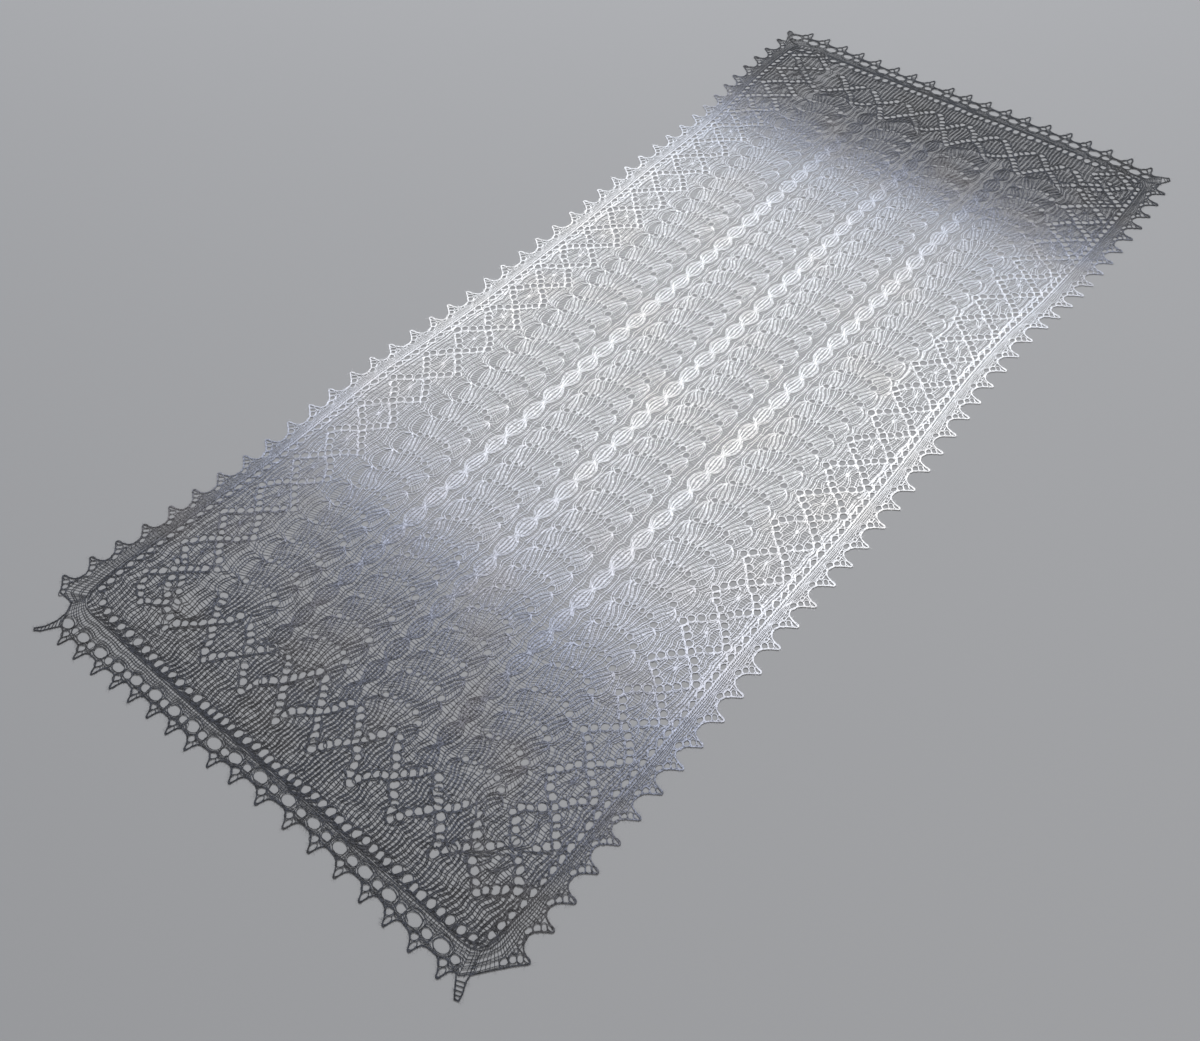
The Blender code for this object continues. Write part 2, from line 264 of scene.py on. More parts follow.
CORNER_ROWS = (-31, 383)  # beyond these rows the sides run round the corners


def side_u(side, rows):
    """Place (u, v) of the body's left or right edge at each row, round its corners."""
    run = np.array(SIDES[side])
    run = run[np.argsort(run[:, 1])]
    near, far = CORNER_ROWS
    v = row_v(rows)
    v = np.where(rows < near, np.interp(rows, [FIRST_ROW, near], [run[0, 1], row_v(near)]), v)
    v = np.where(rows > far, np.interp(rows, [far, LAST_ROW], [row_v(far), run[-1, 1]]), v)
    return np.interp(v, run[:, 1], run[:, 0]), v


def lengths(line):
    """Length of a line up to each of its points."""
    return np.concatenate([[0], np.cumsum(np.linalg.norm(np.diff(line, axis=0), axis=1))])


def points_at(line, run, at):
    """Points of a line where its run has the given values."""
    return np.stack([np.interp(at, run, line[:, k]) for k in (0, 1)], -1)


def along_run(side, shares):
    """Points of the body's side at shares of its length."""
    line = np.array(SIDES[side])
    run = lengths(line)
    return points_at(line, run, shares * run[-1])


def smooth(t):
    t = np.clip(t, 0.0, 1.0)
    return t * t * (3 - 2 * t)


# places across the shawl, in widths, of the nodes and middles of the fans and of the beads
FAN_NODES = ((0.183, 0.303), (0.389, 0.485), (0.5665, 0.662), (0.7516, 0.8516))
FAN_CENTRES = (0.248, 0.437, 0.614, 0.8)
BEAD_CENTRES = (0.347, 0.5275, 0.7095)
# the stitches of a fan, across from its centre and up from their row, in ten-thousandths: in the
# eyelet row, in the row after it and in the row before the next one
EYELET_ROW = ((-480, -95), (-385, 68), (-305, 85), (-235, 116), (-165, 128), (-97, 142), (-20, 148),
    (60, 157), (135, 160), (225, 166), (310, 125), (385, 82), (480, -95))
AFTER_ROW = ((-500, -95), (-410, 30), (-325, 75), (-246, 108), (-164, 125), (-82, 135), (0, 140),
    (82, 142), (164, 140), (246, 128), (325, 95), (410, 40), (500, -95))
BEFORE_ROW = ((-540, -95), (-500, -80), (-460, -60), (-410, -45), (-310, 30), (-155, 100), (0, 108),
    (155, 98), (310, 35), (410, -35), (460, -60), (500, -80), (540, -95))
# centre, half size and lean of the six eyelets of a fan
FAN_HOLES = {1: (-0.038, 0.0004, 0.0068, 0.0062, 0.35), 3: (-0.0232, 0.0065, 0.005, 0.005, 0.2),
             5: (-0.0095, 0.0093, 0.0046, 0.0046, 0.1), 7: (0.006, 0.0102, 0.0048, 0.0054, 0.0),
             9: (0.0225, 0.01, 0.0066, 0.0064, -0.2), 11: (0.0388, 0.0, 0.007, 0.0082, -0.45)}
RIM = np.array([0.0026, 0.0004])  # from the rim of a hole to the stitches round it
FAN_BULGE = 0.008  # how far a fan's sides swing out between its nodes
NODE_DIP, DIP_FADE = -0.0095, 0.42  # rise of the rows at nodes and beads, less each column
BEAD_PITCH = 0.0072
# places of the stitches beside a bead, and how far a full bead moves them out
BESIDE_BEAD, BEAD_SWING = (-0.022, 0.0215), 0.004
# fullness of a bead, by rows from the nodes of the fans
BEAD_PINCH = ((0, 0.18), (1, 0.44), (2, 0.78), (3, 0.96), (4, 1.03), (5, 1.06))
# columns of the panel between the outermost fan and the seam, as shares of its width
PANEL = ((0, 0.0), (1, 0.075), (2, 0.143), (6, 0.474), (10, 0.8), (11, 0.84), (12, 0.885), (13, 0.944),
    (14, 0.985))
# where the stitches beside the middle of a diamond lie, in each row round its gather
BUNDLE = (0.0085, 0.01, 0.0135, 0.0128, 0.0115, 0.0102, 0.008, 0.005, 0.002, 0.0034, 0.0046, 0.0056,
    0.007, 0.0098, 0.0135, 0.01)
DIAMOND_PITCH, DIAMOND_MORE = 0.0105, 0.003
# from which row to which the waves come, all of the pattern and its side panels come and go, and
# the rows take on the bend of the ends
WAVES_START, PATTERN_END, PANELS_END = (-14, 0), (372, 356), (394, 386)
PATTERN_START, PATTERN_COMES = ((0, 12, 18), (-34, -34, -18)), 16  # by columns from the side
NEAR_BEND, FAR_BEND = (-8, -32), (370, 390)
PANEL_COLUMNS, SIDE_COLUMNS = 13, 6.0  # columns of a side panel, and of the slope of the sides
# hold of a stitch: in plain knitting, more in the pattern, times more in beads, along the sides,
# at the ends; no hole pushes a stitch that has FIXED
PLAIN_HOLD, PATTERN_HOLD, BEAD_HOLD, SIDE_HOLD, END_HOLD, FIXED = 0.05, 0.9, 5.0, 60.0, 200.0, 20
BORDER_IN = 0.003  # of the outermost column from the seam
CORNER_IN = 0.1  # stitches, of the ends of the first and last row from the corners


def fan_places(rows, k):
    """Places (across, rise) of a fan's 13 stitches in each row, from its last eyelet row on."""
    turn = np.mod(rows, FAN_REPEAT)[:, None, None]
    eyelet, after, before = np.array([EYELET_ROW, AFTER_ROW, BEFORE_ROW]) / 10000
    places = after + (before - after) * ((turn - 1) / (FAN_REPEAT - 2)).clip(0, 1) ** 1.2
    places = np.where(turn == 0, eyelet, places)
    bulge = FAN_BULGE * np.sin(np.pi * turn[:, 0, 0] / FAN_REPEAT) ** 0.8
    left, right = FAN_NODES[k]
    places[:, :, 0] += FAN_CENTRES[k]
    places[:, 0, 0] = left - bulge
    places[:, -1, 0] = right + bulge
    return places


def known_places(rows, left, right):
    """Place across and rise, in each row, of the columns whose place the pattern sets."""
    known, rise = {}, {}
    for k, first in enumerate(FANS):
        places = fan_places(rows, k)
        for j in range(FAN_WIDE):
            known[first + j], rise[first + j] = places[:, j, 0], places[:, j, 1]
    turn = np.mod(rows, FAN_REPEAT)
    pinch = curve(BEAD_PINCH, np.minimum(turn, FAN_REPEAT - turn), 0.0)
    for centre, middle in zip(BEAD_CENTRES, BEADS):
        for j in range(-2, 3):
            known[middle + j] = centre + BEAD_PITCH * j * pinch
        known[middle - 3] = centre + BESIDE_BEAD[0] - BEAD_SWING * pinch
        known[middle + 3] = centre + BESIDE_BEAD[1] + BEAD_SWING * pinch
        for j in range(-3, 4):
            rise[middle + j] = np.full(len(rows), NODE_DIP)
    for step, share in PANEL[1:]:
        for fan_side, border, way in ((FANS[0], left, -1), (FANS[-1] + FAN_WIDE - 1, right, 1)):
            column = fan_side + way * step
            known[column] = known[fan_side] + (border - known[fan_side]) * share
            rise[column] = np.full(len(rows), NODE_DIP * max(1.0 - DIP_FADE * step, 0.0))
    return known, rise


def all_columns(known):
    """Values of every column in each row, drawn between those of the known columns."""
    at = sorted(known)
    lines = np.stack([known[column] for column in at], -1)
    return np.stack([np.interp(np.arange(COLUMNS), at, line) for line in lines])


def gather_diamonds(drawn):
    """Moves the stitches beside the middle of each diamond to where its gather draws them."""
    for row, middle in diamond_gathers():
        for r, beside in enumerate(BUNDLE, index(row) - HALF_DIAMOND):
            if 0 < r < len(drawn) - 1:
                for j in (-4, -3, -2, -1, 1, 2, 3, 4):
                    out = beside if abs(j) == 1 else DIAMOND_PITCH * abs(j) + DIAMOND_MORE
                    drawn[r, middle + j] = drawn[r, middle] + math.copysign(out, j)


def ramp(row, start, end):
    """0 up to the row of the start, 1 from the row of the end on, which may come before it."""
    return smooth((row - start) / (end - start))


def body_homes():
    """Where each stitch of the body wants to lie, and how hard it is held there."""
    rows, columns = np.arange(FIRST_ROW, LAST_ROW + 1), np.arange(COLUMNS)
    left, left_v = side_u("left", rows)
    right, right_v = side_u("right", rows)
    plain = left[:, None] + (right - left)[:, None] * curve(PLAIN_SHARES, columns, 0.0)
    known, rise = known_places(rows, left, right)
    drawn = all_columns(known)
    gather_diamonds(drawn)
    row = rows[:, None]
    wave = all_columns(rise) * (ramp(row, *WAVES_START) * ramp(row, *PATTERN_END))
    from_side = np.minimum(columns, COLUMNS - 1 - columns)
    start = np.interp(from_side, *PATTERN_START)
    inner = ramp(row, start, start + PATTERN_COMES) * np.maximum(
        ramp(row, *PATTERN_END), (from_side < PANEL_COLUMNS) * ramp(row, *PANELS_END))
    u = plain + (drawn - plain) * inner
    v_side = left_v[:, None] + (right_v - left_v)[:, None] * (columns / (COLUMNS - 1))
    near_gap = curve(SEAM_NEAR, u) - row_v(FIRST_ROW)
    far_gap = curve(SEAM_FAR, u) - row_v(LAST_ROW)
    v_middle = row_v(row) + near_gap * ramp(row, *NEAR_BEND) + far_gap * ramp(row, *FAR_BEND)
    v = v_side + (v_middle - v_side) * smooth(from_side / SIDE_COLUMNS) + wave
    hold = PLAIN_HOLD + PATTERN_HOLD * inner
    for middle in BEADS:
        hold[:, middle - 3:middle + 4] *= BEAD_HOLD
    home = np.stack([u, v], -1)
    shares = (columns + CORNER_IN) / (COLUMNS - 1 + 2 * CORNER_IN)
    home[0], home[-1] = along_run("near", shares), along_run("far", shares)[::-1]
    hold[0] = hold[-1] = END_HOLD
    home[:, 0] = np.stack([left + BORDER_IN, left_v], -1)
    home[:, -1] = np.stack([right - BORDER_IN, right_v], -1)
    hold[:, 0] = hold[:, -1] = SIDE_HOLD
    return home, hold


def diamond_gathers():
    """(row, middle column) of the gather in the middle of each diamond."""
    return [(joint + HALF_DIAMOND, middle) for joint in DIAMOND_JOINTS[:-1]
            for middle in DIAMOND_MIDDLES]


CENTRE_KEPT, CENTRE_DRAWN = 0.8, 0.2  # where a known centre and the stitches hold a hole
HOLE_PULL, HOLE_PUSH = -0.1, 1.0  # most that a hole moves its stitches in a step


class Net:
    """Stitches as a grid of points, joined by legs along the columns and yarn along the rows."""

    def __init__(self, home, hold, to):
        self.shape = home.shape[:2]
        self.rows, self.columns = self.shape
        self.home, self.hold, self.to = home, hold, to
        self.number = np.arange(self.rows * self.columns).reshape(self.shape)
        child = self.number[1:] - np.arange(self.columns) + to[1:]
        self.legs = np.stack([self.number[:-1].ravel(), child.ravel()], -1)
        fed = np.zeros(self.number.size, bool)
        fed[self.legs[:, 1]] = True
        fed[self.number[0]] = True
        self.over = ~fed  # yarn overs: nothing below them
        self.points = home.reshape(-1, 2).copy()
        self.find_holes()
        self.find_rungs()

    def find_holes(self):
        """For each yarn over, the stitches round the hole below it."""
        over = np.flatnonzero(self.over)
        row, column = over // self.columns, over % self.columns
        inner = (column > 0) & (column < self.columns - 1)
        over, row, column = over[inner], row[inner], column[inner]
        left_foot, right_foot = [], []
        for r, c in zip(row, column):
            fed, below = self.to[r], self.number[r - 1]
            lefts = np.flatnonzero(fed[:c + 1] <= c - 1)
            rights = np.flatnonzero(fed[max(c - 8, 0):] >= c + 1) + max(c - 8, 0)
            left_foot.append(below[lefts[-1] if len(lefts) else 0])
            right_foot.append(below[rights[0] if len(rights) else -1])
        self.holes = np.stack([over, over - 1, over + 1, left_foot, right_foot], -1)
        self.hole_row, self.hole_column = row, column

    def find_rungs(self):
        """Yarn between neighbours of a row, left out where the yarn over has taken it up."""
        self.rungs = np.stack([self.number[:, :-1].ravel(), self.number[:, 1:].ravel()], -1)
        taken = np.zeros(self.number.size, bool)
        feet = self.holes[:, 3:]
        neighbours = feet[:, 1] - feet[:, 0] == 1
        taken[feet[neighbours, 0]] = True
        self.rung_drawn = ~taken[self.rungs[:, 0]]

    def relax(self, steps, holes, ease=0.35, pull=0.22):
        """Lets the yarn pull the stitches into place, and opens each hole to its size."""
        ends = np.concatenate([self.rungs, self.legs])
        home, hold = self.home.reshape(-1, 2), self.hold.ravel()
        size = len(home)
        links = np.bincount(ends[:, 0], minlength=size) + np.bincount(ends[:, 1], minlength=size)
        total = hold + pull * links
        flat = self.holes.ravel()
        known = ~np.isnan(holes[:, :1])
        p = self.points
        for _ in range(steps):
            new = np.empty_like(p)
            for k in (0, 1):
                new[:, k] = (hold * home[:, k]
                             + pull * np.bincount(ends[:, 0], p[ends[:, 1], k], size)
                             + pull * np.bincount(ends[:, 1], p[ends[:, 0], k], size)) / total
            p = p + ease * (new - p)
            ring = p[self.holes]
            centre = 0.2 * ring[:, 1:].sum(1) + 0.2 * ring[:, 0]
            kept = CENTRE_KEPT * np.nan_to_num(holes[:, :2]) + CENTRE_DRAWN * centre
            centre = np.where(known, kept, centre)
            away = ring - centre[:, None]
            far = np.sqrt(((away / (holes[:, None, 2:4] + RIM)) ** 2).sum(-1))
            grow = np.clip(1.0 / np.maximum(far, 0.3) - 1.0, HOLE_PULL, HOLE_PUSH)
            move = away * grow[..., None]
            count = np.maximum(np.bincount(flat, minlength=size), 1.0)
            for k in (0, 1):
                p[:, k] += np.bincount(flat, move[..., k].ravel(), size) / count * (hold < FIXED)
        self.points = p
        ring = p[self.holes]
        middle = 0.2 * ring.sum(1)
        self.hole_middles = np.where(known, np.nan_to_num(holes[:, :2]), middle)


# half width and half height of the holes, and how much they vary
HOLE, NEAR_HOLE, HOLE_VARY, HOLE_LEAN = (0.0075, 0.0081), (0.008, 0.0085), 0.13, 0.45
EDGE_HOLE, EDGE_VARY = (0.0067, 0.0087), 0.1
FRAME_HOLE, FRAME_VARY = (0.0082, 0.009), 0.12


def looseness(row_of):
    """How uneven the knitting is, by row of the net: most at the near end."""
    return 1.0 + 1.1 * smooth((75 - row_of) / 60.0)


def hole_sizes(net):
    """Centre (where it is known), half width, half height and lean of each hole of the body."""
    holes = np.tile([np.nan, np.nan, *HOLE, 0.0], (len(net.holes), 1))
    row, column = net.hole_row + FIRST_ROW, net.hole_column
    number = np.arange(len(holes))
    holes[row < 0, 2:4] = NEAR_HOLE
    holes[:, 4] = HOLE_LEAN * uneven(number, 3.0)
    for k, phase in ((2, 0.7), (3, 1.9)):
        holes[:, k] *= 1.0 + HOLE_VARY * looseness(net.hole_row) * uneven(number, phase)
    for k, first in enumerate(FANS):
        for j, (across, up, wide, high, lean) in FAN_HOLES.items():
            here = (row % FAN_REPEAT == 0) & (column == first + j) & (row >= 0)
            here &= row <= LAST_FAN_ROW
            holes[here] = (FAN_CENTRES[k] + across, 0.0, wide, high, lean)
            holes[here, 1] = row_v(row[here]) + up
    edge = (column == 1) | (column == COLUMNS - 2)
    for here, size, vary, phase in ((edge, EDGE_HOLE, EDGE_VARY, 1.3),
                                    (np.isin(row, FRAME_ROWS), FRAME_HOLE, FRAME_VARY, 2.0)):
        holes[here, 2:4] = size
        holes[here, 2:4] *= (1.0 + vary * uneven(number[here], phase))[:, None]
    return holes


# ---- strands
YARN = 0.001  # m, width of the yarn as it lies in a stitch
LEG, RUNG = 0.00114, 0.00074  # m, of a drawn leg with its nap, and between the wales
LEG_TOP, RUNG_TOP, RING_TOP, LOWEST = 0.00135, 0.00085, 0.00145, 0.00005  # m, above the floor
ROOF = 0.55  # height of a strand's roof for its width
FIBRE, FIBRE_LOW, FIBRE_HIGH = 0.00014, 0.001, 0.0019  # m, width of a loose fibre, its heights
BODY_FIBRES, EDGE_FIBRES = 5000, 1400  # in each section, along each strip
# half the distance of a stitch's legs for its width, by that width, and its limits, in m
LEGS_APART, LEG_LIMITS = ((0.0034, 0.005, 0.008), (0.11, 0.14, 0.19)), (0.0003, 0.0029)
AT_HEAD, AT_FOOT = 0.97, 0.82  # of that distance, at the ends of the legs
TWO_TOGETHER, THREE_TOGETHER, RAISED = 0.001, 0.0017, 0.0003  # m, spread and rise of decreases
# fullness of the yarn in beads, at the ends, in fans and in the side panels
BEAD_FULL, END_FULL, FAN_FULL, PANEL_FULL = 1.22, 1.12, 1.06, 0.98
# the same between stitches, by their distance in m, and times more in beads
RUNG_FULL, BEAD_RUNG = ((0.003, 0.0055, 0.009), (0.5, 0.78, 0.82)), 1.7
KNOT_TURNS, KNOT_REACH = (0.25, 0.95, 1.57, 2.2, 2.9), 0.0031  # strands of a gather, in m
RING_UNEVEN, DRIFT = 0.00032, 0.0009  # slips of the yarn round a hole and of the stitches
JITTER = 0.00024  # m, slip of each stitch by itself
SECTIONS, RELAX_STEPS = 5, 240


def into_scene(name, data):
    thing = bpy.data.objects.new(name, data)
    bpy.context.scene.collection.objects.link(thing)
    return thing


class Wool:
    """Collects strands of yarn and turns them into one mesh."""

    def __init__(self):
        self.points, self.faces, self.count = [], [], 0

    def add(self, corner, *quads):
        """Takes over the corners of strands and the faces between them."""
        self.faces += [faces.reshape(-1, 4) for faces in quads]
        self.points.append(corner.reshape(-1, 3))
        self.count += corner.size // 3

    def strands(self, path, wide, high, top):
        """path: (strands, points, 2) in metres; wide, high, top: sizes at each point."""
        n, m = path.shape[:2]
        if n == 0:
            return
        ahead = np.empty_like(path)
        ahead[:, 1:-1] = path[:, 2:] - path[:, :-2]
        ahead[:, 0], ahead[:, -1] = path[:, 1] - path[:, 0], path[:, -1] - path[:, -2]
        length = np.linalg.norm(ahead, axis=-1, keepdims=True)
        ahead /= np.maximum(length, 1e-9)
        across = np.stack([-ahead[..., 1], ahead[..., 0]], -1)
        wide, high, top = (np.broadcast_to(x, (n, m)) for x in (wide, high, top))
        corner = np.empty((n, m, 3, 3))
        corner[:, :, 0, :2] = path + across * wide[..., None] / 2
        corner[:, :, 1, :2] = path
        corner[:, :, 2, :2] = path - across * wide[..., None] / 2
        corner[:, :, 0, 2] = corner[:, :, 2, 2] = np.maximum(top - high, LOWEST)
        corner[:, :, 1, 2] = top
        ids = self.count + np.arange(n * m * 3).reshape(n, m, 3)
        here, ahead = ids[:, :-1], ids[:, 1:]
        self.add(corner, *(np.stack([here[..., k], here[..., k + 1], ahead[..., k + 1], ahead[..., k]],
                                    -1) for k in (0, 1)))

    def nap(self, roots, shortest, longest):
        """Loose fibres from the given places, each a thin blade with one bend."""
        n = len(roots)
        way = rng.uniform(0.0, 2 * np.pi, n)
        step = rng.uniform(shortest, longest, n) / 2
        bend = way + rng.normal(0.0, 0.7, n)
        knee = roots + step[:, None] * np.stack([np.cos(way), np.sin(way)], -1)
        end = knee + step[:, None] * np.stack([np.cos(bend), np.sin(bend)], -1)
        high = rng.uniform(FIBRE_LOW, FIBRE_HIGH, n)
        across = np.stack([-np.sin(way), np.cos(way)], -1)[:, None] * FIBRE / 2
        corner = np.empty((n, 3, 2, 3))
        for k, side in enumerate((-1, 1)):
            corner[:, :, k, :2] = np.stack([roots, knee, end], 1) \
                + side * across * np.array([1.0, 0.8, 0.2])[:, None]
            corner[:, :, k, 2] = np.stack([np.full(n, FIBRE_LOW), high, 0.8 * high], -1)
        ids = self.count + np.arange(n * 6).reshape(n, 3, 2)
        here, ahead = ids[:, :-1], ids[:, 1:]
        self.add(corner, np.stack([here[..., 0], ahead[..., 0], ahead[..., 1], here[..., 1]], -1))

    def piece(self, name, material):
        points = np.concatenate(self.points).astype(np.float32)
        faces = np.concatenate(self.faces).astype(np.int32)
        mesh = bpy.data.meshes.new(name)
        mesh.vertices.add(len(points))
        mesh.vertices.foreach_set("co", points.ravel())
        mesh.loops.add(faces.size)
        mesh.loops.foreach_set("vertex_index", faces.ravel())
        mesh.polygons.add(len(faces))
        mesh.polygons.foreach_set("loop_start", np.arange(0, faces.size, 4, dtype=np.int32))
        mesh.polygons.foreach_set("use_smooth", np.ones(len(faces), bool))
        mesh.update(calc_edges=True)
        flat = mesh.uv_layers.new(name="OFBake")
        low, high = points[:, :2].min(0), points[:, :2].max(0)
        plan = (points[:, :2] - low) / (high - low).max()
        flat.data.foreach_set("uv", plan[faces.ravel()].ravel())
        mesh.materials.append(material)
        return into_scene(name, mesh)


def row_direction(points, net):
    """Unit vector along the row at each stitch, and the width of a stitch there."""
    grid = points.reshape(net.rows, net.columns, 2)
    along = np.empty_like(grid)
    along[:, 1:-1] = grid[:, 2:] - grid[:, :-2]
    along[:, 0], along[:, -1] = 2 * (grid[:, 1] - grid[:, 0]), 2 * (grid[:, -1] - grid[:, -2])
    length = np.linalg.norm(along, axis=-1)
    return (along / np.maximum(length, 1e-9)[..., None]).reshape(-1, 2), (length / 2).ravel()


def leg_heads(net):
    """Where each leg pair meets the stitch above: its share of that stitch, -1 to 1, and width."""
    head = net.legs[:, 1]
    parents = np.bincount(head, minlength=len(net.points))
    first = np.full(len(net.points), len(head))
    np.minimum.at(first, head, np.arange(len(head)))
    rank = np.arange(len(head)) - first[head]
    count = parents[head]
    return (2 * rank + 1) / count - 1.0, count


def inside_fans(row_of):
    return (row_of > index(-6)) & (row_of < index(362))


def draw_stitches(wool, net, points, chosen, vary):
    """The two legs of each stitch of the chosen rows, and the yarn between them."""
    along, pitch = row_direction(points, net)
    row_of, column_of = np.divmod(np.arange(len(points)), net.columns)
    bead = (np.abs(column_of[:, None] - np.array(BEADS)) < 3).any(1) & inside_fans(row_of)
    half = np.clip(np.interp(pitch, *LEGS_APART) * pitch, *LEG_LIMITS)
    central = np.abs(column_of - MIDDLE_COLUMN) < PANEL_FROM
    full = np.select([bead, ~inside_fans(row_of), central],
                     [BEAD_FULL, END_FULL, FAN_FULL], PANEL_FULL)
    share, count = leg_heads(net)
    here = chosen[row_of[net.legs[:, 1]]]
    foot, head = net.legs[here].T
    share, count = share[here], count[here]
    spread = np.select([count > 2, count == 2], [THREE_TOGETHER, TWO_TOGETHER], half[head])
    size = (LEG * full[head] * (1.0 + 0.18 * vary[head]))[:, None] * np.array([1.0, 0.9])
    raised = np.where(count > 1, RAISED, 0.0)[:, None]
    top = LEG_TOP + raised + np.array([0.00012, -0.00022]) + 0.00015 * vary[head][:, None]
    for side in (-1, 1):
        at_head = spread * np.where(count > 1, share + 0.5 * side / count, AT_HEAD * side)
        path = np.stack([points[foot] + side * (AT_FOOT * half[foot])[:, None] * along[foot],
                         points[head] + at_head[:, None] * along[head]], 1)
        wool.strands(path, size, ROOF * size, top)
    a, b = net.rungs[net.rung_drawn & chosen[row_of[net.rungs[:, 0]]]].T
    apart = np.linalg.norm(points[a] - points[b], axis=1)
    size = RUNG * (1.0 + 0.15 * vary[a]) * np.interp(apart, *RUNG_FULL)
    size = (size * np.where(bead[a] & bead[b], BEAD_RUNG, 1.0))[:, None]
    wool.strands(np.stack([points[a], points[b]], 1), size, ROOF * size, RUNG_TOP)


def oval(half_long, half_wide, lean, count):
    """Points round an oval about the origin, turned by its lean; the last is the first again."""
    turn = np.linspace(0.0, 2 * np.pi, count)
    x, y = half_long * np.cos(turn), half_wide * np.sin(turn)
    c, s = np.cos(lean), np.sin(lean)
    return np.stack([x * c - y * s, x * s + y * c], -1)


def draw_rings(wool, net, holes, chosen):
    """The yarn over and the drawn-back stitches that frame each hole."""
    here = chosen[net.hole_row]
    middle, size, lean = net.hole_middles[here], holes[here, 2:4], holes[here, 4]
    ring = middle[:, None] + oval(size[:, :1], size[:, 1:], lean[:, None], 11)
    ring[:, :-1] += rng.normal(0.0, RING_UNEVEN, ring[:, :-1].shape)
    ring[:, -1] = ring[:, 0]
    in_panel = np.abs(net.hole_column[here] - MIDDLE_COLUMN) > PANEL_FROM
    thick = np.where(in_panel, 1.05, 0.92)[:, None] * YARN
    wool.strands(metres(ring), thick, ROOF * thick, RING_TOP)


def draw_knots(wool, net, points, chosen):
    """The stitches knitted together in the middle of each diamond, as a small star."""
    places = [net.number[index(row), middle] for row, middle in diamond_gathers()
              if chosen[index(row)]]
    for turn in KNOT_TURNS:
        reach = KNOT_REACH * np.array([math.cos(turn), math.sin(turn)])
        middle = points[places]
        wool.strands(np.stack([middle - reach, middle, middle + reach], 1),
                     YARN * np.array([0.8, 1.3, 0.8]), 0.6 * YARN,
                     LEG_TOP + np.array([0.0, 0.0004, 0.0]))


def soft_noise(shape):
    """A random shift of each stitch, like that of its neighbours, that dies away at the border."""
    noise = rng.normal(0.0, 1.0, (*shape, 2))
    for _ in range(3):
        for axis in (0, 1):
            noise = (np.roll(noise, 1, axis) + noise + np.roll(noise, -1, axis)) / 3
    rows, columns = (np.minimum(np.arange(n), n - 1 - np.arange(n)) for n in shape)
    return noise / noise.std() * (smooth(rows / 3.0)[:, None] * smooth(columns / 3.0))[..., None]


def make_body(material):
    """The sections of the body and the length of each, in metres."""
    home, hold = body_homes()
    net = Net(home, hold, body_chart())
    holes = hole_sizes(net)
    net.relax(RELAX_STEPS, holes)
    # the rims of the outermost eyelets of a fan stand for the yarn from them to the nodes
    eyelet_rows = net.number[index(0):index(LAST_FAN_ROW) + 1:FAN_REPEAT]
    for first in FANS:
        for column in (first, first + FAN_WIDE - 2):
            net.rung_drawn[np.isin(net.rungs[:, 0], eyelet_rows[:, column])] = False
    loose = looseness(np.arange(len(net.points)) // net.columns)[:, None]
    drift = DRIFT * loose * soft_noise(net.shape).reshape(-1, 2)
    net.hole_middles = net.hole_middles + drift[net.holes[:, 0]]
    points = metres(net.points + drift)
    vary = rng.normal(0.0, 1.0, len(points)).clip(-2, 2)
    points = points + JITTER * loose * rng.normal(0.0, 1.0, points.shape)
    cuts = np.linspace(0, net.rows, SECTIONS + 1).astype(int)
    pieces = []
    for k, (a, b) in enumerate(zip(cuts, cuts[1:])):
        chosen = np.zeros(net.rows, bool)
        chosen[a:b] = True
        wool = Wool()
        draw_stitches(wool, net, points, chosen, vary)
        draw_rings(wool, net, holes, chosen)
        draw_knots(wool, net, points, chosen)
        stitches = points[a * net.columns:b * net.columns]
        wool.nap(stitches[rng.integers(0, len(stitches), BODY_FIBRES)], 0.0025, 0.006)
        pieces.append(wool.piece(f"lace_body_{k + 1}", material))
    ends = row_v(cuts + FIRST_ROW)
    return pieces, [float(length) * NOMINAL for length in ends[1:] - ends[:-1]]


# ---- the edging
TOOTH_ROWS = {"side": 9, "end": 8}  # rows of the edging for each tooth
MITRE_STEP = 0.009  # widths between the outer ends of the rows that fill a mitre
# where the rows of a tooth start at its base, and where they reach its edge, in teeth
ROW_BASE = (-3.0, -0.5, -0.31, -0.19, -0.06, 0.06, 0.19, 0.31, 0.5, 3.0)
ROW_EDGE = (-3.0, -0.5, -0.36, -0.22, -0.1, 0.0, 0.08, 0.2, 0.5, 3.0)
INTERVALS = {"side": 3, "end": 4}  # stitches between the seam and the valleys
# holes of each tooth: place in teeth from its tip, depth below the line of the tips,
# half length, half width, and turn of the length from the strip outwards
TOOTH_HOLES = {
    "side": ((-0.42, 0.0328, 0.0064, 0.0048, 0.25), (-0.215, 0.025, 0.0056, 0.005, 2.6),
             (-0.08, 0.0172, 0.006, 0.0042, 2.3), (0.012, 0.0088, 0.0064, 0.0031, 1.6),
             (0.25, 0.0325, 0.0044, 0.0024, 0.05), (-0.02, 0.0295, 0.0036, 0.0022, 0.05)),
    "end": ((-0.47, 0.0388, 0.0132, 0.0094, 0.0), (-0.15, 0.0228, 0.007, 0.0056, 2.4),
            (-0.01, 0.012, 0.0076, 0.0042, 1.65), (0.05, 0.0375, 0.009, 0.0068, 0.2)),
}
BOUND_WIDE, BOUND_STEP = 0.0018, 0.0031  # m, the bound-off chain of the edge
SEAM_APART, SEAM_WIDE, SEAM_YARN = 0.0018, 0.0014, 0.0008  # m, of the chains beside the seam
SEAM_CORNER = 0.1  # up to here from its corners a seam is longer than the edge beside it
NOTCH_LIMITS = (0.16, 0.8)  # where the valleys lie, from the edge to the seam
TOOTH_STITCHES = 3  # from a valley to the edge of a tooth
TOOTH_INSET, RIM_APART = 0.0014, 0.0008  # of the stitches of the edge, of a hole's yarn
HOLE_REACH, CLEAR = 1.6, 0.86  # shares of a hole: its stitches move, no strand is drawn
PATH_STEP, PATH_SOFT = 0.0004, 0.0024  # m, fine step of a path, rounding of its corners
CURL_STEP = 0.005  # m, between the strands across a curl


